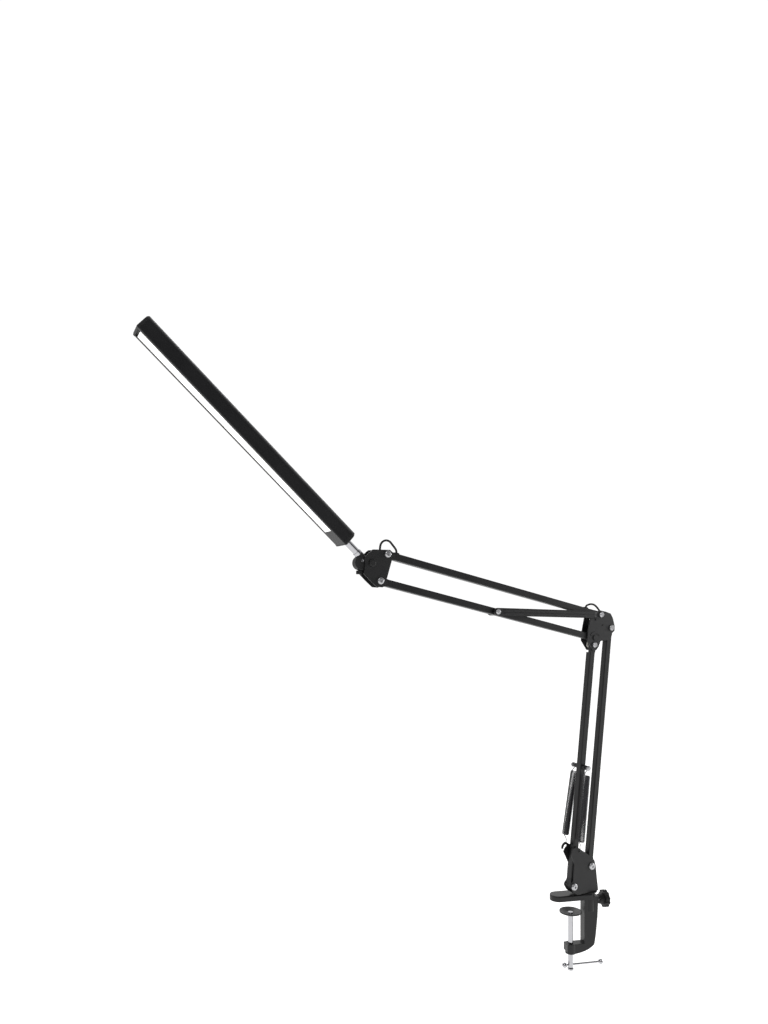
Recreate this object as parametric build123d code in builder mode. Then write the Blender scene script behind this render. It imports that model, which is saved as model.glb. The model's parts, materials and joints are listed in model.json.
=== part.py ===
from build123d import *
import math
import os

os.makedirs("parts", exist_ok=True)

# ---------------------------------------------------------------- driving dimensions (mm, degrees)
# The origin is on the underside of the clamp's upper jaw, on the clamp screw's axis. +Z is up.
# X runs along the plane in which the two arms swing, and the arms reach towards -X.
CLAMP_YAW = 15.0          # the clamp's jaw is turned this much about Z from the arm plane
REACH = 31.1              # clamp screw axis to swivel axis
JAW_T = 8.5               # upper jaw thickness
JAW_W = 25.0              # upper jaw width
JAW_TIP = 21.3            # screw axis to the centre of the jaw's round tip
SPINE_W = 14.0
SPINE_IN = 20.0           # inner face of the spine, from the screw axis
SPINE_OUT = 44.6
BOSS_R = 8.5              # round boss that holds the swivel bush
BOSS_TOP, BOSS_BOT = 9.0, -20.5
LOW_JAW_Z = -69.5
SCREW_R = 3.95
SCREW_END = -111.0
TBAR_Z = -103.2
TBAR_R = 1.5
TBAR_A, TBAR_B = -10.1, 50.9   # ball centres along the T-bar
BALL_R = 4.1
PAD_R = 17.0
KNOB_Z = -4.5
POST_R = 4.5

TUBE = 10.0               # square tube of both arms
WALL = 1.0
PLATE_IN = 6.0            # inner face of every side plate, from the arm plane
PLATE_T = 1.6
BOLT_R = 2.5
HOLE_R = 2.55             # running bore in the tube plugs
EYE_R = 5.0
SETBACK = 12.0            # pivot to the end of the tube

# pivots in the arm plane: (x from the swivel axis, z)
A = (-36.4, 23.8)
B = (-1.5, 50.2)
LOWER = (40.95, 370.5)    # base pivots to elbow pivots
C = (A[0] + LOWER[0], A[1] + LOWER[1])
D = (B[0] + LOWER[0], B[1] + LOWER[1])
PL = (5.7, 405.5)
PU = (16.4, 441.4)
UPPER = (-374.7, 81.6)    # elbow pivots to head pivots
HL = (PL[0] + UPPER[0], PL[1] + UPPER[1])
HU = (PU[0] + UPPER[0], PU[1] + UPPER[1])
STAY_T = 190.5            # stay bolt, along the lower tube of the upper arm
SPRING_T = 182.8          # spring bolt, along the front tube of the lower arm
TILT = (-381.0, 510.5)    # knuckle pivot in the head bracket
KNUCKLE = (-395.5, 510.5)
KNUCKLE_R = 9.5
BAR_ANGLE = 42.49         # rise of the LED bar towards its free end
BAR_END = (-416.0, 538.7)
BAR_L = 350.0
BAR_W = 30.0
BAR_LOW, BAR_SIDE, BAR_TOP = -9.3, 5.0, 14.8
SHELL_T = 1.4
CAP_T = 3.6
SHELL_FROM = 3.0          # the shell starts this far along from BAR_END
STEM_R = 4.8
CABLE_R = 1.5

# ---------------------------------------------------------------- frames
yaw = math.radians(CLAMP_YAW)
XC = (math.cos(yaw), -math.sin(yaw), 0.0)     # along the jaw, away from its tip
YC = (math.sin(yaw), math.cos(yaw), 0.0)
SX, SY = REACH * XC[0], REACH * XC[1]         # swivel axis


def arm(y=0.0):
    """Plane parallel to the arm plane, y beyond it: local x is X from the swivel axis, local y is Z, normal is -Y."""
    return Plane(origin=(SX, SY + y, 0), x_dir=(1, 0, 0), z_dir=(0, -1, 0))


def jaw(y=0.0):
    """The same for the clamp: local x is along the jaw from the screw axis, local y is Z."""
    return Plane(origin=(y * YC[0], y * YC[1], 0), x_dir=XC, z_dir=(-YC[0], -YC[1], 0))


def arm3(p, y=0.0):
    return (SX + p[0], SY + y, p[1])


def jaw3(u, v, z):
    return (u * XC[0] + v * YC[0], u * XC[1] + v * YC[1], z)


def unit(v):
    n = math.hypot(*v)
    return (v[0] / n, v[1] / n)


def along(p, d, t, side=0.0):
    """Point t along direction d from p in the arm plane, and side to its left."""
    return (p[0] + d[0] * t - d[1] * side, p[1] + d[1] * t + d[0] * side)


made = []


def keep(builder, label):
    builder.part.label = label
    export_step(builder.part, f"parts/{label}.step")
    made.append(label)


U1 = unit(LOWER)
U2 = unit(UPPER)

# ================================================================ clamp
with BuildPart() as clamp_frame:
    # spine and lower jaw, one cast section
    with BuildSketch(jaw(SPINE_W / 2)):
        with BuildLine():
            Polyline((SPINE_IN, 2), (SPINE_OUT, 2), (43.2, -30), (40.3, -58), (38.4, -70))
            Spline((38.4, -70), (29.3, -77.6), (17.0, -82.2), (4.1, -84.2), (-4.0, -84.0))
            Polyline((-4.0, -84.0), (-8.2, -81.0), (-8.2, LOW_JAW_Z), (SPINE_IN, LOW_JAW_Z), (SPINE_IN, 2))
        make_face()
    extrude(amount=SPINE_W)
    fillet(clamp_frame.edges().filter_by(lambda e: abs(e.center().dot(Vector(*XC)) - 38.5) < 8 and e.center().Z < -5 and e.length > 5), radius=2.5)
    # upper jaw with a round tip
    with BuildSketch(Plane(origin=(0, 0, 0), x_dir=XC, z_dir=(0, 0, 1))):
        with BuildLine():
            Line((REACH, -JAW_W / 2), (-JAW_TIP, -JAW_W / 2))
            CenterArc((-JAW_TIP, 0), JAW_W / 2, -90, -180)
            Line((-JAW_TIP, JAW_W / 2), (REACH, JAW_W / 2))
            Line((REACH, JAW_W / 2), (REACH, -JAW_W / 2))
        make_face()
    extrude(amount=JAW_T)
    fillet(clamp_frame.edges().group_by(Axis.Z)[-1], radius=1.8)
    # swivel boss
    with Locations((SX, SY, BOSS_BOT)):
        Cylinder(BOSS_R, BOSS_TOP - BOSS_BOT, align=(Align.CENTER, Align.CENTER, Align.MIN))
    # screw boss under the lower jaw
    with Locations((0, 0, -84.6)):
        Cylinder(8.2, 84.6 + LOW_JAW_Z, align=(Align.CENTER, Align.CENTER, Align.MIN))
    # swivel bore, screw bore, lock-knob bore
    with Locations((SX, SY, -20)):
        Cylinder(POST_R + 1.1, 40, align=(Align.CENTER, Align.CENTER, Align.MIN), mode=Mode.SUBTRACT)
    with Locations((0, 0, -90)):
        Cylinder(4.05, 90 + LOW_JAW_Z + 1, align=(Align.CENTER, Align.CENTER, Align.MIN), mode=Mode.SUBTRACT)
    with BuildSketch(Plane(origin=jaw3(REACH, 0, KNOB_Z), x_dir=YC, z_dir=XC)):
        Circle(3.05)
    extrude(amount=30, mode=Mode.SUBTRACT)
keep(clamp_frame, "clamp_frame")

with BuildPart() as swivel_bush:
    with BuildSketch(Plane(origin=(SX, SY, -14), z_dir=(0, 0, 1))):
        Circle(POST_R + 1.05)
        Circle(POST_R + 0.05, mode=Mode.SUBTRACT)
    extrude(amount=23.05)
    with BuildSketch(Plane(origin=(SX, SY, 9.05), z_dir=(0, 0, 1))):
        Circle(12.0)
        Circle(POST_R + 0.05, mode=Mode.SUBTRACT)
    extrude(amount=0.9)
    with BuildSketch(Plane(origin=jaw3(REACH, 0, KNOB_Z), x_dir=YC, z_dir=XC)):
        Circle(3.05)
    extrude(amount=10, mode=Mode.SUBTRACT)
keep(swivel_bush, "swivel_bush")

with BuildPart() as lock_shoe:
    with BuildSketch(Plane(origin=jaw3(REACH + POST_R + 0.1, 0, KNOB_Z), x_dir=YC, z_dir=XC)):
        Circle(2.95)
    extrude(amount=40.5 - (REACH + POST_R + 0.1))
keep(lock_shoe, "lock_shoe")

with BuildPart() as lock_stud:
    with BuildSketch(Plane(origin=jaw3(40.6, 0, KNOB_Z), x_dir=YC, z_dir=XC)):
        Circle(2.95)
    extrude(amount=19.0)
keep(lock_stud, "lock_stud")

with BuildPart() as lock_knob:
    with BuildSketch(Plane(origin=jaw3(54.0, 0, KNOB_Z), x_dir=YC, z_dir=XC)):
        Circle(13.2)
        with PolarLocations(14.6, 10):
            Circle(2.9, mode=Mode.SUBTRACT)
    extrude(amount=7.5)
    chamfer(lock_knob.faces().sort_by(lambda f: f.center().dot(Vector(*XC)))[-1].edges(), length=0.9)
    with BuildSketch(Plane(origin=jaw3(47.4, 0, KNOB_Z), x_dir=YC, z_dir=XC)):
        Circle(7.4)
    extrude(amount=6.6, taper=-6)
    with BuildSketch(Plane(origin=jaw3(47.0, 0, KNOB_Z), x_dir=YC, z_dir=XC)):
        Circle(3.0)
    extrude(amount=12.8, mode=Mode.SUBTRACT)
keep(lock_knob, "lock_knob")

with BuildPart() as clamp_screw:
    with BuildSketch(Plane.XZ):
        with BuildLine():
            Polyline((0, SCREW_END), (4.6, SCREW_END), (4.9, SCREW_END + 0.8), (4.9, SCREW_END + 2.4), (SCREW_R, SCREW_END + 4.5), (SCREW_R, -26.0),
                     (3.2, -25.0), (2.4, -25.0), (2.4, -22.4), (4.2, -22.4), (3.6, -21.0), (0, -20.6), (0, SCREW_END))
        make_face()
    revolve(axis=Axis.Z)
    with BuildSketch(Plane(origin=jaw3(-10, 0, TBAR_Z), x_dir=YC, z_dir=XC)):
        Circle(TBAR_R + 0.08)
    extrude(amount=20, mode=Mode.SUBTRACT)
keep(clamp_screw, "clamp_screw")

with BuildPart() as pressure_pad:
    with BuildSketch(Plane.XZ):
        with BuildLine():
            Polyline((2.6, -24.9), (7.0, -24.9), (12.5, -22.9), (PAD_R, -21.4), (PAD_R, -19.4), (16.0, -19.4), (12.5, -20.6), (7.0, -22.6), (2.6, -22.6), (2.6, -24.9))
        make_face()
    revolve(axis=Axis.Z)
keep(pressure_pad, "pressure_pad")

with BuildPart() as t_bar:
    with BuildSketch(Plane(origin=jaw3(TBAR_A + 2.5, 0, TBAR_Z), x_dir=YC, z_dir=XC)):
        Circle(TBAR_R)
    extrude(amount=TBAR_B - TBAR_A - 5.0)
keep(t_bar, "t_bar")

with BuildPart() as t_bar_balls:
    with Locations(jaw3(TBAR_A, 0, TBAR_Z), jaw3(TBAR_B, 0, TBAR_Z)):
        Sphere(BALL_R)
    with BuildSketch(Plane(origin=jaw3(TBAR_A + 2.5, 0, TBAR_Z), x_dir=YC, z_dir=XC)):
        Circle(TBAR_R + 0.02)
    extrude(amount=TBAR_B - TBAR_A - 5.0, mode=Mode.SUBTRACT)
keep(t_bar_balls, "t_bar_balls")

# ================================================================ base bracket
NEAR, FAR = -PLATE_IN, PLATE_IN + PLATE_T     # arm() offsets of the planes that plates are extruded from, towards the near side


def pivot_bolts(points, name, head_r=5.6, head_t=3.0, near_y=None, far_y=None):
    """Shanks with a domed head on the near side."""
    y0 = -(PLATE_IN + PLATE_T) if near_y is None else near_y
    y1 = PLATE_IN + PLATE_T + 4.6 if far_y is None else far_y
    with BuildPart() as bolts:
        with BuildSketch(arm(y1)):
            with Locations(*points):
                Circle(BOLT_R)
        extrude(amount=y1 - y0)
        with BuildSketch(arm(y0)):
            with Locations(*points):
                Circle(head_r)
        extrude(amount=head_t)
        fillet(bolts.edges().group_by(Axis.Y)[0], radius=head_t * 0.8)
        with BuildSketch(arm(y0 - head_t + 1.2)):
            with Locations(*points):
                RegularPolygon(1.9, 6)
        extrude(amount=4, mode=Mode.SUBTRACT)
    keep(bolts, name)


def lock_nuts(points, name, y=None, af=8.0, t=4.2):
    y0 = PLATE_IN + PLATE_T if y is None else y
    with BuildPart() as nuts:
        with BuildSketch(arm(y0 + t)):
            with Locations(*points):
                RegularPolygon(af / 2, 6, major_radius=False)
        extrude(amount=t)
        fillet(nuts.edges().group_by(Axis.Y)[-1], radius=0.7)
        with BuildSketch(arm(y0 + t + 1)):
            with Locations(*points):
                Circle(BOLT_R + 0.02)
        extrude(amount=t + 2, mode=Mode.SUBTRACT)
    keep(nuts, name)


def washers(points, name, r=4.6):
    with BuildPart() as rings:
        for y in (PLATE_IN - 0.06, -(TUBE / 2) - 0.06):
            with BuildSketch(arm(y)):
                with Locations(*points):
                    Circle(r)
                    Circle(BOLT_R + 0.06, mode=Mode.SUBTRACT)
            extrude(amount=PLATE_IN - TUBE / 2 - 0.12)
    keep(rings, name)


base_near = [(-36.0, 57.5), (-41.5, 72.0), (-40.0, 82.0), (-31.0, 84.4), (-12.3, 72.1), (4.4, 58.8), (6.8, 50.7), (12.2, 10.0), (-30.0, 10.0), (-38.5, 15.4), (-44.2, 24.0), (-38.2, 33.0)]
base_far = [(-36.0, 57.5), (-45.4, 75.4), (-43.0, 79.6), (-38.3, 84.0), (-34.0, 86.0), (-28.0, 82.6), (-12.3, 72.1), (4.4, 58.8), (6.8, 50.7), (12.2, 10.0), (-30.0, 10.0), (-38.5, 15.4), (-44.2, 24.0), (-38.2, 33.0)]
with BuildPart() as base_bracket:
    with BuildSketch(arm(-PLATE_IN)):
        with BuildLine():
            Polyline(*base_near, close=True)
        make_face()
        fillet(vertices(), radius=2.2)
        with Locations((-25.3, 75.5)):
            Circle(1.7, mode=Mode.SUBTRACT)
        with Locations(A, B):
            Circle(BOLT_R + 0.06, mode=Mode.SUBTRACT)
    extrude(amount=PLATE_T)
    with BuildSketch(arm(PLATE_IN + PLATE_T)):
        with BuildLine():
            Polyline(*base_far, close=True)
        make_face()
        fillet(vertices(), radius=1.6)
        # open hook for the far spring
        with BuildLine():
            RadiusArc((-34.6, 84.4), (-41.9, 89.6), -8.5)
            RadiusArc((-41.9, 89.6), (-49.0, 80.0), -8.2)
            Line((-49.0, 80.0), (-45.8, 79.6))
            RadiusArc((-45.8, 79.6), (-41.9, 86.1), 5.6)
            RadiusArc((-41.9, 86.1), (-37.8, 81.8), 5.2)
            Line((-37.8, 81.8), (-34.6, 84.4))
        make_face()
        with Locations(A, B):
            Circle(BOLT_R + 0.06, mode=Mode.SUBTRACT)
    extrude(amount=PLATE_T)
    # folded foot between the two sides
    with BuildSketch(Plane(origin=(SX, SY, 10.0), z_dir=(0, 0, 1))):
        with Locations((-8.9, 0)):
            Rectangle(42.2, 2 * PLATE_IN + 0.2)
        Circle(POST_R - 1.0, mode=Mode.SUBTRACT)
    extrude(amount=2.0)
keep(base_bracket, "base_bracket")

with BuildPart() as swivel_post:
    with BuildSketch(Plane.XZ):
        with BuildLine():
            Polyline((0, -18.0), (POST_R - 0.8, -18.0), (POST_R, -17.2), (POST_R, 9.96), (POST_R - 1.05, 9.96), (POST_R - 1.05, 12.05), (5.6, 12.05), (4.9, 14.2), (0, 14.8), (0, -18.0))
        make_face()
    revolve(axis=Axis.Z)
swivel_post.part.locate(Location((SX, SY, 0)))
keep(swivel_post, "swivel_post")

pivot_bolts([A, B], "base_bolts")
lock_nuts([A, B], "base_nuts")
washers([A, B], "base_washers")


# ================================================================ square tubes and their plugs
def section(p, d):
    """Plane across a tube at point p of the arm plane: local x is Y, local y is across the tube in the arm plane."""
    return Plane(origin=arm3(p), x_dir=(0, 1, 0), z_dir=(d[0], 0, d[1]))


def square_tube(p, q, name, bolts=(), grommets=()):
    d = unit((q[0] - p[0], q[1] - p[1]))
    length = math.hypot(q[0] - p[0], q[1] - p[1]) - 2 * SETBACK
    start = along(p, d, SETBACK)
    with BuildPart() as tube:
        with BuildSketch(section(start, d)):
            RectangleRounded(TUBE, TUBE, 1.3)
            RectangleRounded(TUBE - 2 * WALL, TUBE - 2 * WALL, 0.5, mode=Mode.SUBTRACT)
        extrude(amount=length)
        for t in bolts:
            with BuildSketch(arm(TUBE)):
                with Locations(along(p, d, t)):
                    Circle(2.05)
            extrude(amount=2 * TUBE, mode=Mode.SUBTRACT)
        for t in grommets:
            g = along(p, d, t)
            up = (d[1], -d[0]) if d[0] < 0 else (-d[1], d[0])
            with BuildSketch(Plane(origin=arm3(g), x_dir=(0, 1, 0), z_dir=(up[0], 0, up[1]))):
                Circle(2.95)
            extrude(amount=TUBE, mode=Mode.SUBTRACT)
    keep(tube, name)


def tube_plugs(p, q, name, half_p=0, half_q=0, channel=False):
    """Moulded plugs that carry the pivot eyes. half is 0 for a full-width eye, -1 or 1 for a half-width one on the near or far side."""
    with BuildPart() as plugs:
        for a, b, half in ((p, q, half_p), (q, p, half_q)):
            d = unit((b[0] - a[0], b[1] - a[1]))
            inner = TUBE - 2 * WALL - 0.1
            with BuildSketch(section(along(a, d, SETBACK - 0.05), d)):
                RectangleRounded(inner, inner, 0.45)
            extrude(amount=14.0)
            y0, y1 = {0: (-TUBE / 2, TUBE / 2), -1: (-TUBE / 2, -0.25), 1: (0.25, TUBE / 2)}[half]
            with BuildSketch(arm(y1)):
                with BuildLine():
                    s0, s1 = along(a, d, SETBACK - 0.05, EYE_R), along(a, d, SETBACK - 0.05, -EYE_R)
                    e0, e1 = along(a, d, 0, EYE_R), along(a, d, 0, -EYE_R)
                    Line(s1, s0)
                    Line(s0, e0)
                    ThreePointArc(e0, along(a, d, -EYE_R), e1)
                    Line(e1, s1)
                make_face()
                with Locations(a):
                    Circle(HOLE_R, mode=Mode.SUBTRACT)
            extrude(amount=y1 - y0)
            if channel:
                # open channel in the top of the plug for the cable
                with BuildSketch(section(along(a, d, SETBACK + 1.0), d)):
                    with Locations((0, 1.5 if d[0] > 0 else -1.5)):
                        Rectangle(6.2, 7.0)
                extrude(amount=16.0, mode=Mode.SUBTRACT)
    keep(plugs, name)


square_tube(A, C, "lower_front_tube", bolts=(SPRING_T,))
tube_plugs(A, C, "lower_front_plugs", 0, -1)
square_tube(B, D, "lower_rear_tube")
tube_plugs(B, D, "lower_rear_plugs")

# pin that carries the two springs, with a head at each end, and its two spacers
SB = along(A, U1, SPRING_T)
SPRING_Y = 14.0
PIN_OUT = 17.0
with BuildPart() as spring_pin:
    with BuildSketch(arm(PIN_OUT)):
        with Locations(SB):
            Circle(2.0)
    extrude(amount=2 * PIN_OUT)
    for y in (PIN_OUT + 2.4, -PIN_OUT):
        with BuildSketch(arm(y)):
            with Locations(SB):
                Circle(3.8)
        extrude(amount=2.4)
    fillet(spring_pin.edges().group_by(Axis.Y)[0], radius=1.6)
    fillet(spring_pin.edges().group_by(Axis.Y)[-1], radius=1.6)
keep(spring_pin, "spring_pin")
with BuildPart() as spring_spacers:
    for y in (11.55, -5.05):
        with BuildSketch(arm(y)):
            with Locations(SB):
                Circle(3.6)
                Circle(2.06, mode=Mode.SUBTRACT)
        extrude(amount=6.5)
keep(spring_spacers, "spring_spacers")


def rod(p, q, r):
    v = Vector(*q) - Vector(*p)
    with BuildPart() as piece:
        with BuildSketch(Plane(origin=p, z_dir=(v.X, v.Y, v.Z))):
            Circle(r)
        extrude(amount=v.length)
    return piece.part


def spring_body(top, bottom, y, anchor, anchor_y, name, r=5.9):
    """Closed coils as a sleeve, an eye on the pin at the top and a straight leg that hooks into the base bracket."""
    d = unit((bottom[0] - top[0], bottom[1] - top[1]))
    with BuildPart() as spring:
        with BuildSketch(Plane(origin=arm3(top, y), x_dir=(0, 1, 0), z_dir=(d[0], 0, d[1]))):
            Circle(r)
            Circle(r - 1.4, mode=Mode.SUBTRACT)
        extrude(amount=math.hypot(bottom[0] - top[0], bottom[1] - top[1]))
        with BuildSketch(arm(y + 0.8)):
            with Locations(SB):
                Circle(3.9)
                Circle(2.12, mode=Mode.SUBTRACT)
        extrude(amount=1.6)
        s = 1 if y > 0 else -1
        inner = y - s * (r - 0.7)
        add(rod(arm3(along(SB, unit((top[0] - SB[0], top[1] - SB[1])), 3.0), y - s * 0.2), arm3(along(top, d, 2.0), inner), 0.75))
        add(rod(arm3(along(bottom, d, -2.0), inner), arm3(anchor, anchor_y), 0.75))
    keep(spring, name)


spring_body((-17.3, 194.5), (-28.8, 93.0), -SPRING_Y, (-25.6, 77.0), -8.5, "balance_spring_near")
spring_body((-17.6, 196.5), (-35.2, 98.0), SPRING_Y, (-41.0, 88.6), 8.5, "balance_spring_far")

# ================================================================ elbow
elbow_outline = [(-3.2, 437.4), (5.0, 445.6), (16.0, 448.2), (27.7, 446.2), (38.1, 443.1), (42.6, 436.0), (46.6, 423.0), (46.0, 415.5), (41.0, 412.4), (37.4, 401.2), (17.0, 400.2), (13.2, 391.6), (7.5, 385.6), (1.5, 385.8), (-10.0, 401.0), (-8.4, 416.0)]
ELBOW_PINS = [C, D, PL, PU]


def elbow_plate(y, name, emboss):
    with BuildPart() as plate:
        with BuildSketch(arm(y)):
            with BuildLine():
                Polyline(*elbow_outline, close=True)
            make_face()
            fillet(vertices(), radius=2.4)
            with Locations(*ELBOW_PINS):
                Circle(BOLT_R + 0.06, mode=Mode.SUBTRACT)
            with Locations((22.0, 425.0), (8.1, 433.6)):
                Circle(1.56, mode=Mode.SUBTRACT)
        extrude(amount=PLATE_T)
        if emboss:
            with BuildSketch(arm(y - PLATE_T)):
                with BuildLine():
                    CenterArc((5.7, 402.5), 12.5, 35, 105)
                    CenterArc((5.7, 402.5), 9.8, 35, 105)
                    Line((5.7 + 12.5 * math.cos(math.radians(35)), 402.5 + 12.5 * math.sin(math.radians(35))), (5.7 + 9.8 * math.cos(math.radians(35)), 402.5 + 9.8 * math.sin(math.radians(35))))
                    Line((5.7 + 12.5 * math.cos(math.radians(140)), 402.5 + 12.5 * math.sin(math.radians(140))), (5.7 + 9.8 * math.cos(math.radians(140)), 402.5 + 9.8 * math.sin(math.radians(140))))
                make_face()
            extrude(amount=0.6)
    keep(plate, name)


elbow_plate(-PLATE_IN, "elbow_plate_near", True)
elbow_plate(PLATE_IN + PLATE_T, "elbow_plate_far", False)
STAY_Y0, STAY_T1 = 7.75, 1.8          # the stays lie against the outside of the elbow plates
ELBOW_LONG = STAY_Y0 + STAY_T1 + 0.15
with BuildPart() as elbow_bolts:
    for points, out in (((C, D), PLATE_IN + PLATE_T), ((PU,), ELBOW_LONG)):
        with BuildSketch(arm(out + 4.6)):
            with Locations(*points):
                Circle(BOLT_R)
        extrude(amount=2 * out + 4.6)
        with BuildSketch(arm(-out)):
            with Locations(*points):
                Circle(4.3)
        extrude(amount=1.6)
        with BuildSketch(arm(-out - 1.6)):
            with Locations(*points):
                Circle(4.3)
        extrude(amount=1.4, taper=38)
keep(elbow_bolts, "elbow_bolts")
with BuildPart() as elbow_nuts:
    for points, out in (((C, D), PLATE_IN + PLATE_T), ((PU,), ELBOW_LONG)):
        with BuildSketch(arm(out + 4.2)):
            with Locations(*points):
                RegularPolygon(4.0, 6, major_radius=False)
                Circle(BOLT_R + 0.02, mode=Mode.SUBTRACT)
        extrude(amount=4.2)
keep(elbow_nuts, "elbow_nuts")
washers([C, D, PL, PU], "elbow_washers")
with BuildPart() as elbow_pin:
    with BuildSketch(arm(PLATE_IN + PLATE_T + 1.0)):
        with Locations(PL):
            Circle(BOLT_R)
    extrude(amount=2 * (PLATE_IN + PLATE_T + 1.0))
    for y in (PLATE_IN + PLATE_T + 1.2, -(PLATE_IN + PLATE_T)):
        with BuildSketch(arm(y)):
            with Locations(PL):
                Circle(4.0)
        extrude(amount=1.2)
keep(elbow_pin, "elbow_pin")
with BuildPart() as elbow_rivets:
    with BuildSketch(arm(PLATE_IN - 0.02)):
        with Locations((22.0, 425.0)):
            Circle(2.6)
    extrude(amount=2 * PLATE_IN - 0.04)
    with BuildSketch(arm(PLATE_IN + PLATE_T + 0.5)):
        with Locations((22.0, 425.0)):
            Circle(1.5)
    extrude(amount=2 * (PLATE_IN + PLATE_T + 0.5))
    with BuildSketch(arm(-PLATE_IN - 0.1)):
        with Locations((8.1, 433.6)):
            Circle(1.5)
    extrude(amount=PLATE_T)
    with BuildSketch(arm(-PLATE_IN - PLATE_T)):
        with Locations((8.1, 433.6)):
            Circle(2.0)
    extrude(amount=0.9)
keep(elbow_rivets, "elbow_rivets")

# ================================================================ upper arm
LAMP_G, ELB_G = math.hypot(*UPPER) - 16.6, 25.0    # grommets along the top tube, from the elbow
square_tube(PU, HU, "upper_top_tube", grommets=(LAMP_G, ELB_G))
tube_plugs(PU, HU, "upper_top_plugs", channel=True)
square_tube(PL, HL, "upper_lower_tube", bolts=(STAY_T,))
tube_plugs(PL, HL, "upper_lower_plugs", 1, 0)
UPN = (-U2[1], U2[0]) if U2[0] > 0 else (U2[1], -U2[0])       # across the upper arm, upwards
with BuildPart() as cable_grommets:
    for t in (LAMP_G, ELB_G):
        g = along(PU, U2, t)
        base = (g[0] + UPN[0] * (TUBE / 2 - 1.6), g[1] + UPN[1] * (TUBE / 2 - 1.6))
        top = (g[0] + UPN[0] * (TUBE / 2 + 0.02), g[1] + UPN[1] * (TUBE / 2 + 0.02))
        with BuildSketch(Plane(origin=arm3(base), x_dir=(0, 1, 0), z_dir=(UPN[0], 0, UPN[1]))):
            Circle(2.85)
            Circle(CABLE_R + 0.1, mode=Mode.SUBTRACT)
        extrude(amount=1.7)
        with BuildSketch(Plane(origin=arm3(top), x_dir=(0, 1, 0), z_dir=(UPN[0], 0, UPN[1]))):
            Circle(3.9)
            Circle(CABLE_R + 0.1, mode=Mode.SUBTRACT)
        extrude(amount=1.3)
keep(cable_grommets, "cable_grommets")

# cable inside the top tube and inside the rear tube
with BuildPart() as cable_upper:
    with BuildSketch(section(along(PU, U2, 30.0), U2)):
        Circle(CABLE_R)
    extrude(amount=LAMP_G - 36.0)
keep(cable_upper, "cable_upper")
with BuildPart() as cable_lower:
    with BuildSketch(section(along(B, U1, 66.0), U1)):
        Circle(CABLE_R)
    extrude(amount=math.hypot(*LOWER) - 66.0 - 28.0)
keep(cable_lower, "cable_lower")

# sprung stays, one on each side, from the elbow's upper pivot to the middle of the lower tube
SD = along(PL, U2, STAY_T)
SU = unit((PU[0] - SD[0], PU[1] - SD[1]))
STAY_L = math.hypot(PU[0] - SD[0], PU[1] - SD[1])

with BuildPart() as balance_stays:
    a0, a1 = along(SD, SU, 0, 5.6), along(SD, SU, 0, -5.6)
    b0, b1 = along(SD, SU, STAY_L, 5.6), along(SD, SU, STAY_L, -5.6)
    c0, c1 = along(SD, SU, 12, 5.0), along(SD, SU, 12, -5.0)
    d0, d1 = along(SD, SU, STAY_L - 12, 5.0), along(SD, SU, STAY_L - 12, -5.0)
    for start in (STAY_Y0 + STAY_T1, -STAY_Y0):
        with BuildSketch(arm(start)):
            with BuildLine():
                Line(a0, b0)
                ThreePointArc(b0, along(SD, SU, STAY_L + 5.6), b1)
                Line(b1, a1)
                ThreePointArc(a1, along(SD, SU, -5.6), a0)
            make_face()
            with Locations(SD):
                Circle(2.12, mode=Mode.SUBTRACT)
            with Locations(PU):
                Circle(BOLT_R + 0.12, mode=Mode.SUBTRACT)
        extrude(amount=STAY_T1)
    # the raised middle between the two eyes
    for start in (STAY_Y0 + STAY_T1 + 0.9, -STAY_Y0 - STAY_T1):
        with BuildSketch(arm(start)):
            with BuildLine():
                Polyline(c0, d0, d1, c1, close=True)
            make_face()
        extrude(amount=0.9)
keep(balance_stays, "balance_stays")

STAY_OUT = STAY_Y0 + STAY_T1 + 0.1
with BuildPart() as stay_pin:
    with BuildSketch(arm(STAY_OUT)):
        with Locations(SD):
            Circle(2.0)
    extrude(amount=2 * STAY_OUT)
    for y in (STAY_OUT + 3.2, -STAY_OUT):
        with BuildSketch(arm(y)):
            with Locations(SD):
                Circle(3.9)
        extrude(amount=3.2)
    fillet(stay_pin.edges().group_by(Axis.Y)[0], radius=1.6)
    fillet(stay_pin.edges().group_by(Axis.Y)[-1], radius=1.6)
keep(stay_pin, "stay_pin")
with BuildPart() as stay_spacers:
    for y in (STAY_Y0 - 0.1, -TUBE / 2 - 0.05):
        with BuildSketch(arm(y)):
            with Locations(SD):
                Circle(3.6)
                Circle(2.06, mode=Mode.SUBTRACT)
        extrude(amount=STAY_Y0 - TUBE / 2 - 0.15)
keep(stay_spacers, "stay_spacers")

# ================================================================ head bracket
head_outline = [(-391.6, 508.0), (-392.6, 517.6), (-386.6, 523.4), (-380.4, 528.6), (-354.6, 529.0), (-351.0, 526.0), (-352.4, 513.5), (-359.8, 489.0), (-360.8, 481.6), (-366.0, 478.4), (-374.6, 478.9), (-383.0, 486.0), (-393.8, 496.0)]


def head_plate(y, name):
    with BuildPart() as plate:
        with BuildSketch(arm(y)):
            with BuildLine():
                Polyline(*head_outline, close=True)
            make_face()
            fillet(vertices(), radius=2.0)
            with Locations(HL, HU, TILT):
                Circle(BOLT_R + 0.06, mode=Mode.SUBTRACT)
        extrude(amount=PLATE_T)
    keep(plate, name)


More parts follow.
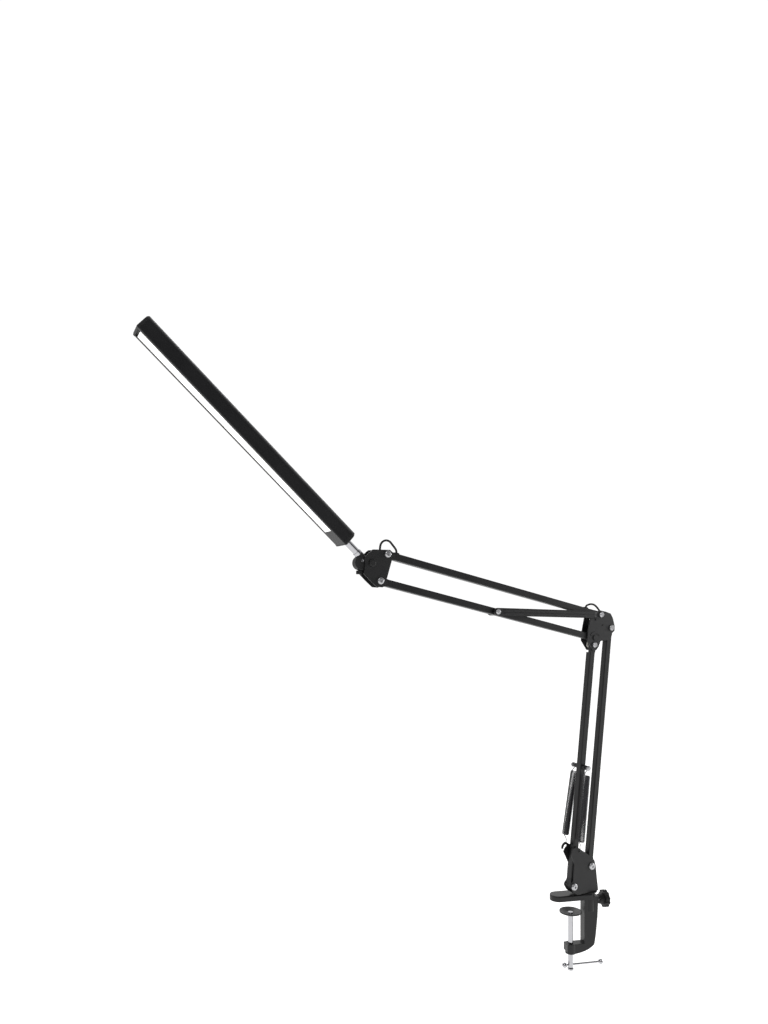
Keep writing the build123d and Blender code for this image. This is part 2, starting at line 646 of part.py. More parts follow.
head_plate(-PLATE_IN, "head_plate_near")
head_plate(PLATE_IN + PLATE_T, "head_plate_far")
pivot_bolts([HL, HU], "head_bolts", head_r=4.9, head_t=3.0)
lock_nuts([HL, HU, TILT], "head_nuts")
washers([HL, HU], "head_washers")
with BuildPart() as tilt_bolt:
    with BuildSketch(arm(PLATE_IN + PLATE_T + 4.4)):
        with Locations(TILT):
            Circle(BOLT_R)
    extrude(amount=2 * (PLATE_IN + PLATE_T) + 4.4)
    with BuildSketch(arm(-(PLATE_IN + PLATE_T))):
        with Locations(TILT):
            Circle(5.2)
    extrude(amount=2.2)
    fillet(tilt_bolt.edges().group_by(Axis.Y)[0], radius=1.7)
keep(tilt_bolt, "tilt_bolt")

# clips between the plates that hold the cable where each free loop starts
CLIP_H = (-366.5, 525.4)
CLIP_E = (27.5, 441.4)
with BuildPart() as head_cable_clip:
    with BuildSketch(arm(PLATE_IN - 0.03)):
        with Locations(CLIP_H):
            RectangleRounded(5.6, 6.0, 1.0)
    extrude(amount=2 * PLATE_IN - 0.06)
    with BuildSketch(Plane(origin=arm3((CLIP_H[0], CLIP_H[1] - 5)), x_dir=(1, 0, 0), z_dir=(0, 0, 1))):
        Circle(CABLE_R + 0.1)
    extrude(amount=12, mode=Mode.SUBTRACT)
keep(head_cable_clip, "head_cable_clip")
with BuildPart() as elbow_cable_clip:
    with BuildSketch(arm(PLATE_IN - 0.03)):
        with Locations(Location((CLIP_E[0], CLIP_E[1]), (0, 0, 1), 45)):
            RectangleRounded(6.0, 6.0, 1.0)
    extrude(amount=2 * PLATE_IN - 0.06)
    with BuildSketch(Plane(origin=arm3((CLIP_E[0] - 5, CLIP_E[1] + 5)), x_dir=(0, 1, 0), z_dir=(math.sqrt(0.5), 0, -math.sqrt(0.5)))):
        Circle(CABLE_R + 0.1)
    extrude(amount=16, mode=Mode.SUBTRACT)
keep(elbow_cable_clip, "elbow_cable_clip")


# ================================================================ free loops of cable
def cable(points, name):
    pts = [arm3(p) for p in points]
    vs = [Vector(*p) for p in pts]
    radii = []
    for i in range(1, len(vs) - 1):
        a, b = vs[i] - vs[i - 1], vs[i + 1] - vs[i]
        turn = math.radians(a.get_angle(b))
        radii.append(0.45 * min(a.length, b.length) / math.tan(turn / 2))
    print(name, "radii", [round(r, 1) for r in radii])
    with BuildPart() as loop:
        with BuildLine() as route:
            FilletPolyline(*pts, radius=radii)
        first = (vs[1] - vs[0]).normalized()
        with BuildSketch(Plane(origin=pts[0], x_dir=(0, 1, 0), z_dir=(first.X, first.Y, first.Z))):
            Circle(CABLE_R)
        sweep(path=route.wires()[0] if route.wires() else None)
    print(name, "length", round(route.wires()[0].length, 2), "volume ratio", round(loop.part.volume / (math.pi * CABLE_R ** 2 * route.wires()[0].length), 4))
    keep(loop, name)


g1 = along(PU, U2, LAMP_G)
g2 = along(PU, U2, ELB_G)


def off(g, t):
    return (g[0] + UPN[0] * t, g[1] + UPN[1] * t)


cable([(CLIP_H[0], 523.2), (CLIP_H[0] + 0.2, 532.4), (-364.4, 538.6), (-358.6, 542.6), (-351.6, 541.6), (-346.4, 535.6), off(g1, 9.4), off(g1, 3.0)], "head_cable_loop")
cable([off(g2, 3.0), off(g2, 8.4), (-3.4, 456.4), (4.2, 458.4), (12.2, 456.6), (18.8, 451.0), (23.0, 445.9), (28.0, 440.9)], "elbow_cable_loop")

# ================================================================ knuckle and LED bar
ca, sa = math.cos(math.radians(BAR_ANGLE)), math.sin(math.radians(BAR_ANGLE))
OUT = (-ca, sa)           # from the knuckle towards the bar's free end
UPB = (sa, ca)            # the bar's back


def bar_plane(t):
    """Plane across the bar, t from its knuckle end: local x is Y (near side negative), local y is towards the bar's back."""
    return Plane(origin=arm3((BAR_END[0] + OUT[0] * t, BAR_END[1] + OUT[1] * t)), x_dir=(0, -1, 0), z_dir=(OUT[0], 0, OUT[1]))


GRUB = (-394.2, 513.8)
with BuildPart() as knuckle:
    with BuildSketch(arm(5.5)):
        with Locations(KNUCKLE):
            Circle(KNUCKLE_R)
        with BuildLine():
            Polyline((TILT[0], TILT[1] + 6.2), (KNUCKLE[0], KNUCKLE[1] + 7.0), (KNUCKLE[0], KNUCKLE[1] - 7.0), (TILT[0], TILT[1] - 6.2), close=True)
        make_face()
        with Locations(TILT):
            Circle(6.2)
    extrude(amount=11.0)
    fillet(knuckle.edges().filter_by(lambda e: abs(abs(e.center().Y - SY) - 5.5) < 0.01), radius=0.9)
    with BuildSketch(bar_plane(-36.0)):
        Circle(5.45)
    extrude(amount=11.4)
    with BuildSketch(bar_plane(-32.6)):
        Circle(STEM_R + 0.05)
    extrude(amount=20, mode=Mode.SUBTRACT)
    with BuildSketch(arm(8)):
        with Locations(TILT):
            Circle(HOLE_R)
    extrude(amount=16, mode=Mode.SUBTRACT)
    with BuildSketch(Plane(origin=arm3((-397.2, 495.0)), x_dir=(1, 0, 0), z_dir=(0, 0, 1))):
        Circle(2.05)
    extrude(amount=24, mode=Mode.SUBTRACT)
    with BuildSketch(arm(-4.0)):
        with Locations(GRUB):
            Circle(2.05)
    extrude(amount=3, mode=Mode.SUBTRACT)
keep(knuckle, "knuckle")

with BuildPart() as knuckle_grub_screw:
    with BuildSketch(arm(-4.65)):
        with Locations(GRUB):
            Circle(2.0)
    extrude(amount=0.8)
    with BuildSketch(arm(-5.0)):
        with Locations(GRUB):
            RegularPolygon(1.0, 6)
    extrude(amount=3, mode=Mode.SUBTRACT)
keep(knuckle_grub_screw, "knuckle_grub_screw")

with BuildPart() as stem_collar:
    with BuildSketch(bar_plane(-24.5)):
        Circle(5.85)
        Circle(STEM_R + 0.05, mode=Mode.SUBTRACT)
    extrude(amount=4.4)
keep(stem_collar, "stem_collar")

with BuildPart() as stem_lock_screw:
    with BuildSketch(Plane(origin=arm3((-397.2, 495.6)), x_dir=(1, 0, 0), z_dir=(0, 0, 1))):
        Circle(4.0)
        with PolarLocations(4.3, 14):
            Circle(0.5, mode=Mode.SUBTRACT)
    extrude(amount=4.6)
    with BuildSketch(Plane(origin=arm3((-397.2, 500.2)), x_dir=(1, 0, 0), z_dir=(0, 0, 1))):
        Circle(2.0)
    extrude(amount=12.2)
keep(stem_lock_screw, "stem_lock_screw")

with BuildPart() as stem_tube:
    with BuildSketch(bar_plane(-32.4)):
        Circle(STEM_R)
        Circle(STEM_R - 1.0, mode=Mode.SUBTRACT)
    extrude(amount=32.4 + 12.0)
    with BuildSketch(bar_plane(7.4)):
        Circle(7.6)
        Circle(STEM_R - 0.5, mode=Mode.SUBTRACT)
    extrude(amount=2.4)
keep(stem_tube, "stem_tube")


def bar_back(inset):
    """Points along the bar's rounded back, inset by that much."""
    w, side, top = BAR_W / 2 - inset, BAR_SIDE, BAR_TOP - inset
    return [(w * math.cos(math.radians(a)), side + (top - side) * math.sin(math.radians(a))) for a in range(0, 181, 15)]


def bar_rest(inset):
    """Points along its sides and flat underside."""
    w, side, low = BAR_W / 2 - inset, BAR_SIDE, BAR_LOW + inset
    return [(-w, side), (-w, low), (w, low), (w, side)]


SLOT_W = 21.0            # the light opening in the bar's underside
SLOT_FROM, SLOT_TO = 26.0, BAR_L - 2.0
with BuildPart() as bar_shell:
    with BuildSketch(bar_plane(SHELL_FROM)):
        with BuildLine():
            Spline(*bar_back(0.0), tangents=((0, 1), (0, -1)))
            Polyline(*bar_rest(0.0))
        make_face()
    extrude(amount=BAR_L - SHELL_FROM)
    fillet(bar_shell.edges().filter_by(lambda e: e.length > BAR_L - SHELL_FROM - 1 and abs((e.center() - Vector(*arm3((BAR_END[0] + OUT[0] * 175, BAR_END[1] + OUT[1] * 175)))).dot(Vector(UPB[0], 0, UPB[1])) - BAR_LOW) < 0.1), radius=1.2)
    with BuildSketch(bar_plane(-1)):
        with BuildLine():
            Spline(*bar_back(SHELL_T), tangents=((0, 1), (0, -1)))
            Polyline(*bar_rest(SHELL_T))
        make_face()
    extrude(amount=BAR_L + 2, mode=Mode.SUBTRACT)
    with BuildSketch(bar_plane(SLOT_FROM)):
        with Locations((0, BAR_LOW)):
            Rectangle(SLOT_W, 5.0)
    extrude(amount=BAR_L - SLOT_FROM + 1, mode=Mode.SUBTRACT)
    # web across the inside that the LED board is fixed to
    with BuildSketch(bar_plane(14)):
        with Locations((0, 4.3)):
            Rectangle(BAR_W - 1.0, 1.8)
    extrude(amount=BAR_L - 20)
keep(bar_shell, "bar_shell")


def end_cap(t0, outwards, name, hole):
    with BuildPart() as cap:
        with BuildSketch(bar_plane(t0)):
            with BuildLine():
                Spline(*bar_back(0.0), tangents=((0, 1), (0, -1)))
                Polyline(*bar_rest(0.0))
            make_face()
        extrude(amount=outwards * (CAP_T - 1.4))
        # eased outer edge
        with BuildSketch(bar_plane(t0 + outwards * (CAP_T - 1.4))):
            with BuildLine():
                Spline(*bar_back(0.0), tangents=((0, 1), (0, -1)))
                Polyline(*bar_rest(0.0))
            make_face()
        with BuildSketch(bar_plane(t0 + outwards * CAP_T)):
            with BuildLine():
                Spline(*bar_back(1.6), tangents=((0, 1), (0, -1)))
                Polyline(*bar_rest(1.6))
            make_face()
        loft()
        # spigot inside the shell
        with BuildSketch(bar_plane(t0)):
            with BuildLine():
                Spline(*bar_back(SHELL_T + 0.15), tangents=((0, 1), (0, -1)))
                Polyline(*bar_rest(SHELL_T + 0.15))
            make_face()
        extrude(amount=-outwards * 1.9)
        if hole:
            with BuildSketch(bar_plane(-10)):
                Circle(STEM_R + 0.03)
            extrude(amount=20, mode=Mode.SUBTRACT)
    keep(cap, name)


end_cap(SHELL_FROM, -1, "end_cap_stem", True)
end_cap(BAR_L, 1, "end_cap_free", False)
with BuildPart() as diffuser:
    with BuildSketch(bar_plane(SLOT_FROM + 0.1)):
        with Locations((0, BAR_LOW + 1.0)):
            Rectangle(SLOT_W - 0.2, 0.8)
        with Locations((0, BAR_LOW + 1.45 + 0.75)):
            Rectangle(SLOT_W + 3.0, 1.4)
    extrude(amount=BAR_L - 3.3 - SLOT_FROM)
keep(diffuser, "diffuser")

with BuildPart() as led_board:
    with BuildSketch(bar_plane(SLOT_FROM + 4)):
        with Locations((0, 2.4)):
            Rectangle(18.0, 1.6)
    extrude(amount=BAR_L - SLOT_FROM - 12)
keep(led_board, "led_board")

with BuildPart() as led_chips:
    for i in range(26):
        t = SLOT_FROM + 10 + i * 11.8
        with BuildSketch(bar_plane(t)):
            with Locations((0, 1.2)):
                Rectangle(2.8, 0.76)
        extrude(amount=3.5)
keep(led_chips, "led_chips")

print(len(made), "nodes")
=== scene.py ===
import json
import math

import bpy
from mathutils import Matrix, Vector


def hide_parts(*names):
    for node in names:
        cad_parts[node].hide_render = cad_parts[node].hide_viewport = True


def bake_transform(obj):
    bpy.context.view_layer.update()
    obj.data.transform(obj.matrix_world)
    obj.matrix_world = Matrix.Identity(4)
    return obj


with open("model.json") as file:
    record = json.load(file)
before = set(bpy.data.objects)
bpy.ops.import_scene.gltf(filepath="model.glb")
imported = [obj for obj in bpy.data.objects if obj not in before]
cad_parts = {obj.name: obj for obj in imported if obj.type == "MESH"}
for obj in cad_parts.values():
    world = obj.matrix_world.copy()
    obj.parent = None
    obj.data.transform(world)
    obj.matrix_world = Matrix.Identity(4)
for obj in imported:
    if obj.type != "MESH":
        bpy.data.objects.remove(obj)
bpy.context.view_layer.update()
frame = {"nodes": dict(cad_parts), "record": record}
nodes = frame["nodes"]

# ------------------------------------------------------------------ positions, in metres
YAW = math.radians(15.0)
SX, SY = 0.0311 * math.cos(YAW), -0.0311 * math.sin(YAW)


def P(x, z, y=0.0):
    """A point of the arm plane, given in millimetres from the swivel axis."""
    return Vector((SX + x / 1000, SY + y / 1000, z / 1000))


A = (-36.4, 23.8)
B = (-1.5, 50.2)
U1 = Vector((40.95, 370.5)).normalized()
U2 = Vector((-374.7, 81.6)).normalized()
PL, PU = Vector((5.7, 405.5)), Vector((16.4, 441.4))
HU = PU + Vector((-374.7, 81.6))
SB = Vector(A) + U1 * 182.8
SD = PL + U2 * 190.5
BAR = math.radians(42.49)


# ------------------------------------------------------------------ materials
def material(name, color, rough, metal=0.0, grain=900.0, bump=0.12, bump_size=0.00012, mottle=0.18, rough_var=0.12, streak=None, bevel=0.0004,
             coat=0.0, emission=0.0, spec=0.5, sss=0.0, dust=0.0):
    m = bpy.data.materials.new(name)
    m.use_nodes = True
    t = m.node_tree
    t.nodes.clear()
    N, L = t.nodes.new, t.links.new
    out = N("ShaderNodeOutputMaterial")
    b = N("ShaderNodeBsdfPrincipled")
    L(b.outputs[0], out.inputs[0])
    co = N("ShaderNodeTexCoord")
    mp = N("ShaderNodeMapping")
    L(co.outputs["Object"], mp.inputs[0])
    if streak:
        mp.inputs["Rotation"].default_value = (0, streak[0], 0)
        mp.inputs["Scale"].default_value = streak[1]
    # fine grain
    fine = N("ShaderNodeTexNoise")
    fine.inputs["Scale"].default_value = grain
    fine.inputs["Detail"].default_value = 3
    L(mp.outputs[0], fine.inputs["Vector"])
    # broad variation
    broad = N("ShaderNodeTexNoise")
    broad.inputs["Scale"].default_value = 34
    broad.inputs["Detail"].default_value = 5
    L(co.outputs["Object"], broad.inputs["Vector"])
    # colour
    mix = N("ShaderNodeMix")
    mix.data_type = "RGBA"
    L(broad.outputs["Fac"], mix.inputs["Factor"])
    lo = [c * (1 - mottle) for c in color]
    hi = [min(1, c * (1 + mottle) + 0.0015) for c in color]
    mix.inputs["A"].default_value = (*lo, 1)
    mix.inputs["B"].default_value = (*hi, 1)
    col = mix.outputs["Result"]
    if dust:
        # a trace of pale dust on upward faces
        geo = N("ShaderNodeNewGeometry")
        sep = N("ShaderNodeSeparateXYZ")
        L(geo.outputs["Normal"], sep.inputs[0])
        up = N("ShaderNodeMapRange")
        up.inputs["From Min"].default_value = 0.2
        up.inputs["From Max"].default_value = 1.0
        up.inputs["To Max"].default_value = dust
        L(sep.outputs["Z"], up.inputs[0])
        mul = N("ShaderNodeMath")
        mul.operation = "MULTIPLY"
        L(up.outputs[0], mul.inputs[0])
        L(broad.outputs["Fac"], mul.inputs[1])
        mix2 = N("ShaderNodeMix")
        mix2.data_type = "RGBA"
        L(mul.outputs[0], mix2.inputs["Factor"])
        L(col, mix2.inputs["A"])
        mix2.inputs["B"].default_value = (0.4, 0.39, 0.37, 1)
        col = mix2.outputs["Result"]
    L(col, b.inputs["Base Color"])
    # roughness
    rr = N("ShaderNodeMapRange")
    rr.inputs["To Min"].default_value = max(0.03, rough - rough_var)
    rr.inputs["To Max"].default_value = min(1.0, rough + rough_var)
    add = N("ShaderNodeMath")
    add.operation = "ADD"
    half = N("ShaderNodeMath")
    half.operation = "MULTIPLY"
    half.inputs[1].default_value = 0.5
    L(fine.outputs["Fac"], add.inputs[0])
    L(broad.outputs["Fac"], add.inputs[1])
    L(add.outputs[0], half.inputs[0])
    L(half.outputs[0], rr.inputs[0])
    L(rr.outputs[0], b.inputs["Roughness"])
    b.inputs["Metallic"].default_value = metal
    b.inputs["Specular IOR Level"].default_value = spec
    b.inputs["Coat Weight"].default_value = coat
    b.inputs["Coat Roughness"].default_value = 0.15
    if sss:
        b.inputs["Subsurface Weight"].default_value = sss
        b.inputs["Subsurface Radius"].default_value = (0.002, 0.002, 0.0015)
    # relief and softened edges
    bp = N("ShaderNodeBump")
    bp.inputs["Strength"].default_value = bump
    bp.inputs["Distance"].default_value = bump_size
    L(fine.outputs["Fac"], bp.inputs["Height"])
    if bevel:
        bv = N("ShaderNodeBevel")
        bv.samples = 4
        bv.inputs["Radius"].default_value = bevel
        L(bv.outputs[0], bp.inputs["Normal"])
    L(bp.outputs[0], b.inputs["Normal"])
    if emission:
        glow = N("ShaderNodeMix")
        glow.data_type = "RGBA"
        L(broad.outputs["Fac"], glow.inputs["Factor"])
        glow.inputs["A"].default_value = (1.0, 0.985, 0.95, 1)
        glow.inputs["B"].default_value = (0.97, 0.985, 1.0, 1)
        L(glow.outputs["Result"], b.inputs["Emission Color"])
        b.inputs["Emission Strength"].default_value = emission
    return m


M = {
    "black_steel": material("powder coated plate", (0.0075, 0.0075, 0.008), 0.46, grain=1500, bump=0.35, bump_size=0.0001, spec=0.30, dust=0.006),
    "black_cast": material("painted casting", (0.0065, 0.0065, 0.007), 0.40, grain=520, bump=0.3, bump_size=0.0002, spec=0.32, bevel=0.0007, dust=0.006),
    "black_tube": material("painted tube", (0.007, 0.007, 0.0075), 0.38, grain=1300, bump=0.25, bump_size=0.0001, spec=0.30, dust=0.005),
    "black_plastic": material("moulded plastic", (0.007, 0.007, 0.0075), 0.50, grain=2200, bump=0.4, bump_size=0.00008, spec=0.28, dust=0.004),
    "black_rubber": material("rubber", (0.006, 0.006, 0.006), 0.78, grain=1800, bump=0.4, bump_size=0.00009, spec=0.25),
    "black_pvc": material("cable jacket", (0.006, 0.006, 0.0065), 0.36, spec=0.35, grain=2600, bump=0.15, bump_size=0.00005, bevel=0),
    "black_spring": material("blackened spring wire", (0.05, 0.05, 0.053), 0.30, metal=0.8, grain=1800, bump=0.15, bump_size=0.00005, bevel=0),
    "nylon": material("nylon", (0.72, 0.71, 0.67), 0.45, grain=1500, bump=0.2, bump_size=0.00006, mottle=0.06, sss=0.15),
    "chrome": material("chrome plate", (0.42, 0.42, 0.435), 0.14, metal=1.0, grain=420, bump=0.03, bump_size=0.00004, mottle=0.05, rough_var=0.06),
    "zinc": material("zinc plate", (0.40, 0.40, 0.41), 0.30, metal=0.95, grain=700, bump=0.14, bump_size=0.00005, mottle=0.14, rough_var=0.14),
    "brass": material("turned brass", (0.60, 0.43, 0.17), 0.30, metal=1.0, grain=900, bump=0.2, bump_size=0.00005, mottle=0.12),
    "black_aluminium": material("black anodised extrusion", (0.007, 0.007, 0.0078), 0.42, metal=0.1, grain=260, bump=0.10, bump_size=0.00008, streak=(BAR, (0.015, 5.0, 5.0)), spec=0.28, dust=0.004),
    "opal": material("opal diffuser", (0.86, 0.86, 0.84), 0.35, grain=1400, bump=0.08, bump_size=0.00004, mottle=0.03, sss=0.2, emission=0.55),
    "board": material("solder mask", (0.80, 0.81, 0.78), 0.38, grain=1200, bump=0.1, bump_size=0.00005, mottle=0.05),
    "phosphor": material("phosphor", (0.85, 0.70, 0.22), 0.5, grain=2500, bump=0.2, bump_size=0.00004, mottle=0.15, emission=0.4),
}
for entry in frame["record"]["subparts"]:
    ob = nodes[entry["node"]]
    ob.data.materials.clear()
    ob.data.materials.append(M[entry["material_slot"]])


# ------------------------------------------------------------------ mesh helpers
def tube_mesh(name, pts, r, sides, first=0, last=None, caps=True):
    """A round tube along pts. Only the rings first..last are built, with frames taken from the whole line."""
    last = len(pts) - 1 if last is None else last
    tang = []
    for i in range(len(pts)):
        a, b = pts[max(0, i - 1)], pts[min(len(pts) - 1, i + 1)]
        tang.append((b - a).normalized())
    n = tang[0].orthogonal().normalized()
    frames = []
    for i, tg in enumerate(tang):
        n = (n - tg * n.dot(tg)).normalized()
        frames.append((n.copy(), tg.cross(n)))
    verts, faces = [], []
    for i in range(first, last + 1):
        u, v = frames[i]
        for k in range(sides):
            a = 2 * math.pi * k / sides
            verts.append(pts[i] + (u * math.cos(a) + v * math.sin(a)) * r)
    rows = last - first
    for i in range(rows):
        for k in range(sides):
            k2 = (k + 1) % sides
            faces.append((i * sides + k, i * sides + k2, (i + 1) * sides + k2, (i + 1) * sides + k))
    if caps and first == 0:
        faces.append(tuple(range(sides))[::-1])
    if caps and last == len(pts) - 1:
        faces.append(tuple(rows * sides + k for k in range(sides)))
    me = bpy.data.meshes.new(name)
    me.from_pydata([tuple(p) for p in verts], [], faces)
    me.update()
    me.polygons.foreach_set("use_smooth", [True] * len(me.polygons))
    ob = bpy.data.objects.new(name, me)
    bpy.context.scene.collection.objects.link(ob)
    return ob


# ------------------------------------------------------------------ the two balance springs
def coil_spring(name, node, y, top, bottom, tail, reach, turns):
    """Eye on the pin, close coils, and a tail that hooks into the base bracket."""
    r_coil, r_wire = 0.0051, 0.00062
    sgn = 1 if y > 0 else -1
    eye = P(SB.x, SB.y, y)
    T, Bm = P(top[0], top[1], y), P(bottom[0], bottom[1], y)
    axis = (T - Bm).normalized()
    side = axis.cross(Vector((0, 1, 0))).normalized()
    pts = []
    # eye round the pin, in the arm plane
    er = 0.0029
    down = (T - eye).normalized()
    sd = Vector((0, 1, 0)).cross(down)
    for i in range(15):
        a = math.radians(150 - i * 22)
        pts.append(eye + (-down * math.cos(a) + sd * math.sin(a)) * er + Vector((0, (i - 7) * 0.00007, 0)))
    lead_in = [eye + down * 0.0052 + Vector((0, 0.0012, 0)), eye + down * 0.0078 + Vector((0, 0.0034, 0))]
    pts += lead_in
    # coils, narrowing at both ends
    n = turns * 14
    for i in range(n + 1):
        f = i / n
        a = 2 * math.pi * turns * f
        rc = r_coil * min(1.0, 0.72 + 0.28 * min(f, 1 - f) * turns / 1.2)
        c = T.lerp(Bm, f)
        pts.append(c + Vector((0, 1, 0)) * rc * math.cos(a) + side * rc * math.sin(a))
    # tail
    pts += tail
    L = (eye - P(reach[0], reach[1], y)).length
    base = P(reach[0], reach[1], y)
    ax = (eye - base).normalized()
    s = [max(0.0, min(1.0, (p - base).dot(ax) / L)) for p in pts]

    cuts = [0.0, 0.12, 0.3, 0.5, 0.72, 1.0]
    made = []
    # index ranges: the line runs from the eye, s = 1, to the tail, s = 0
    idx, i0 = [], 0
    for c in reversed(cuts[:-1]):
        i1 = i0
        while i1 < len(pts) - 1 and s[i1] > c:
            i1 += 1
        if c == 0.0:
            i1 = len(pts) - 1
        idx.append((i0, i1, c))
        i0 = i1
    for k, (a, b, c) in enumerate(idx):
        ob = tube_mesh(f"{name}_{k}", pts, r_wire, 7, a, b)
        ob.data.materials.append(M["black_spring"])
        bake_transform(ob)
        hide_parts(node)
        made.append(ob)
    return made


near_tail = [P(-28.4, 89.0, -12.2), P(-27.6, 85.0, -10.6), P(-26.4, 80.0, -9.6), P(-25.7, 77.0, -9.2), P(-25.3, 75.6, -8.6), P(-25.3, 75.1, -7.6), P(-25.3, 75.0, -6.6),
             P(-25.3, 75.2, -5.7)]
far_tail = [P(-35.8, 94.6, 12.4), P(-36.6, 92.8, 10.6), P(-37.6, 91.4, 9.2), P(-38.8, 90.7, 8.4), P(-39.8, 90.4, 7.4), P(-40.4, 90.2, 6.4), P(-40.8, 89.4, 5.6),
            P(-40.8, 88.2, 5.2)]
coil_spring("spring_near", "balance_spring_near", -14.0, (-17.3, 194.5), (-28.8, 93.0), near_tail, (-25.3, 75.5), 66)
coil_spring("spring_far", "balance_spring_far", 14.0, (-17.6, 196.5), (-35.2, 98.0), far_tail, (-40.4, 89.5), 64)


# ------------------------------------------------------------------ the sprung stays
def stay(name, sign):
    """A pressed channel with round ends and a raised middle, from the arm's pin to the elbow bolt."""
    d = (PU - SD).normalized()
    up = Vector((-d.y, d.x))
    if up.y < 0:
        up = -up
    length = (PU - SD).length
    rows = []
    ts = [-5.6, -5.5, -5.1, -4.4, -3.4, -2.2, -1.0, 0, 3, 7, 9.5, 11, 12.5, 14]
    steps = 40
    ts += [14 + (length - 28) * i / steps for i in range(1, steps)]
    ts += [length - v for v in (14, 12.5, 11, 9.5, 7, 3, 0, -1.0, -2.2, -3.4, -4.4, -5.1, -5.5, -5.6)]
    for t in ts:
        over = max(0.0, -t, t - length)
        h = math.sqrt(max(0.02, 5.6 ** 2 - over ** 2))
        lift = min(1.0, max(0.0, (min(t, length - t) - 9.0) / 4.0)) * 0.85
        prof = [(-1, 0), (-1, 1.7), (-0.86, 1.8), (-0.74, 1.8), (-0.66, 1.8 + lift), (-0.16, 1.8 + lift), (-0.08, 1.8 + 0.45 * lift), (0.08, 1.8 + 0.45 * lift),
                (0.16, 1.8 + lift), (0.66, 1.8 + lift), (0.74, 1.8), (0.86, 1.8), (1, 1.7), (1, 0)]
        c = SD + d * t
        rows.append([P(c.x + up.x * h * a, c.y + up.y * h * a, sign * (7.75 + b)) for a, b in prof])
    n = len(rows[0])
    verts = [tuple(p) for row in rows for p in row]
    faces = []
    for i in range(len(rows) - 1):
        for k in range(n):
            k2 = (k + 1) % n
            f = (i * n + k, i * n + k2, (i + 1) * n + k2, (i + 1) * n + k)
            faces.append(f if sign > 0 else f[::-1])
    e0, e1 = tuple(range(n)), tuple((len(rows) - 1) * n + k for k in range(n))
    faces.append(e0[::-1] if sign > 0 else e0)
    faces.append(e1 if sign > 0 else e1[::-1])
    me = bpy.data.meshes.new(name)
    me.from_pydata(verts, [], faces)
    me.update()
    ob = bpy.data.objects.new(name, me)
    bpy.context.scene.collection.objects.link(ob)
    ob.data.materials.append(M["black_steel"])
    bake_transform(ob)
    return ob


near_stay, far_stay = stay("stay_near", -1), stay("stay_far", 1)
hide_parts("balance_stays")
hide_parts("balance_stays")


# ------------------------------------------------------------------ the two free loops of cable
def loop(name, node, route, length):
    cu = bpy.data.curves.new(name + "_route", "CURVE")
    cu.dimensions = "3D"
    sp = cu.splines.new("NURBS")
    sp.points.add(len(route) - 1)
    for p, q in zip(sp.points, route):
        p.co = (*q, 1)
    sp.order_u = 3
    sp.use_endpoint_u = True
    sp.resolution_u = 10
    src = bpy.data.objects.new(name + "_route", cu)
    bpy.context.scene.collection.objects.link(src)
    bpy.context.view_layer.update()
    me = bpy.data.meshes.new_from_object(src)
    path = [v.co.copy() for v in me.vertices]
    bpy.data.objects.remove(src)
    ob = tube_mesh(name, path, 0.0015, 16)
    ob.data.materials.append(M["black_pvc"])
    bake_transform(ob)
    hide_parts(node)
    return ob


N2 = Vector((U2.y, -U2.x))
if N2.y < 0:
    N2 = -N2
G1 = PU + U2 * (Vector((-374.7, 81.6)).length - 16.6)
G2 = PU + U2 * 25.0


def pts2(route):
    return [P(x, z) for x, z in route]


head_route = [(-366.5, 523.2), (-366.3, 532.4), (-364.4, 538.6), (-358.6, 542.6), (-351.6, 541.6), (-346.4, 535.6), tuple(G1 + N2 * 9.4), tuple(G1 + N2 * 3.0)]
elbow_route = [tuple(G2 + N2 * 3.0), tuple(G2 + N2 * 8.4), (-3.4, 456.4), (4.2, 458.4), (12.2, 456.6), (18.8, 451.0), (23.0, 445.9), (28.0, 440.9)]
loop("head_loop", "head_cable_loop", pts2(head_route), 0)
loop("elbow_loop", "elbow_cable_loop", pts2(elbow_route), 0)

# ------------------------------------------------------------------ floor, light and camera
me = bpy.data.meshes.new("studio_floor")
me.from_pydata([(-30, -30, -0.16), (30, -30, -0.16), (30, 30, -0.16), (-30, 30, -0.16)], [], [(0, 1, 2, 3)])
me.update()
floor = bpy.data.objects.new("studio_floor", me)
bpy.context.scene.collection.objects.link(floor)
floor.data.materials.append(material("studio paper", (0.93, 0.93, 0.93), 0.9, grain=60, bump=0.02, mottle=0.006, bevel=0, emission=0.62))

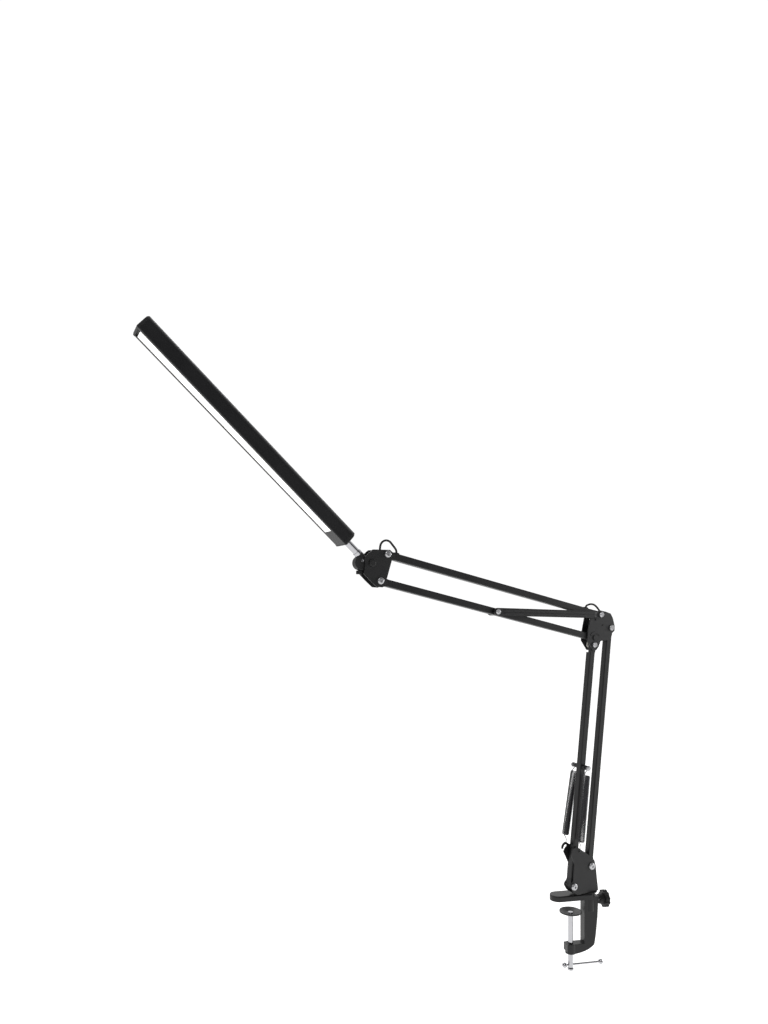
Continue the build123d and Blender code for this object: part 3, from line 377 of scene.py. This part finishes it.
# white backdrop beyond the object, a dimmer room on the camera's side, so that bright metal has something dark to reflect
world = bpy.data.worlds.new("studio")
world.use_nodes = True
wt = world.node_tree
bg = wt.nodes["Background"]
tc = wt.nodes.new("ShaderNodeTexCoord")
dot = wt.nodes.new("ShaderNodeVectorMath")
dot.operation = "DOT_PRODUCT"
dot.inputs[1].default_value = (math.sin(math.radians(27)), math.cos(math.radians(27)), 0.0)
wt.links.new(tc.outputs["Generated"], dot.inputs[0])
ramp = wt.nodes.new("ShaderNodeValToRGB")
ramp.color_ramp.elements[0].position = 0.30
ramp.color_ramp.elements[0].color = (0.10, 0.10, 0.105, 1)
ramp.color_ramp.elements[1].position = 0.78
ramp.color_ramp.elements[1].color = (1, 1, 1, 1)
half = wt.nodes.new("ShaderNodeMath")
half.operation = "MULTIPLY_ADD"
half.inputs[1].default_value = 0.5
half.inputs[2].default_value = 0.5
wt.links.new(dot.outputs["Value"], half.inputs[0])
wt.links.new(half.outputs[0], ramp.inputs["Fac"])
wt.links.new(ramp.outputs["Color"], bg.inputs[0])
bg.inputs[1].default_value = 1.05
bpy.context.scene.world = world


def area(name, loc, target, size, power):
    li = bpy.data.lights.new(name, "AREA")
    li.shape = "SQUARE"
    li.size = size
    li.energy = power
    ob = bpy.data.objects.new(name, li)
    ob.location = loc
    ob.rotation_euler = (Vector(target) - Vector(loc)).to_track_quat("-Z", "Y").to_euler()
    bpy.context.scene.collection.objects.link(ob)


area("key", (-1.6, -1.6, 2.2), (-0.25, 0, 0.35), 1.0, 22)
area("side", (1.9, -0.7, 0.7), (0.0, 0, 0.3), 0.7, 14)
area("back", (0.6, 1.9, 2.0), (-0.2, 0, 0.4), 1.3, 14)

cam = bpy.data.cameras.new("camera")
cam.sensor_width = 36
cam.lens = 26.33
cam.shift_y = 0.0977
cam.clip_start = 0.01
co = bpy.data.objects.new("camera", cam)
co.location = (-0.7881, -0.9071, 0.4455)
look = Vector((math.sin(math.radians(27)), math.cos(math.radians(27)), 0))
co.rotation_euler = look.to_track_quat("-Z", "Y").to_euler()
bpy.context.scene.collection.objects.link(co)
bpy.context.scene.camera = co
bpy.context.scene.view_settings.view_transform = "Standard"
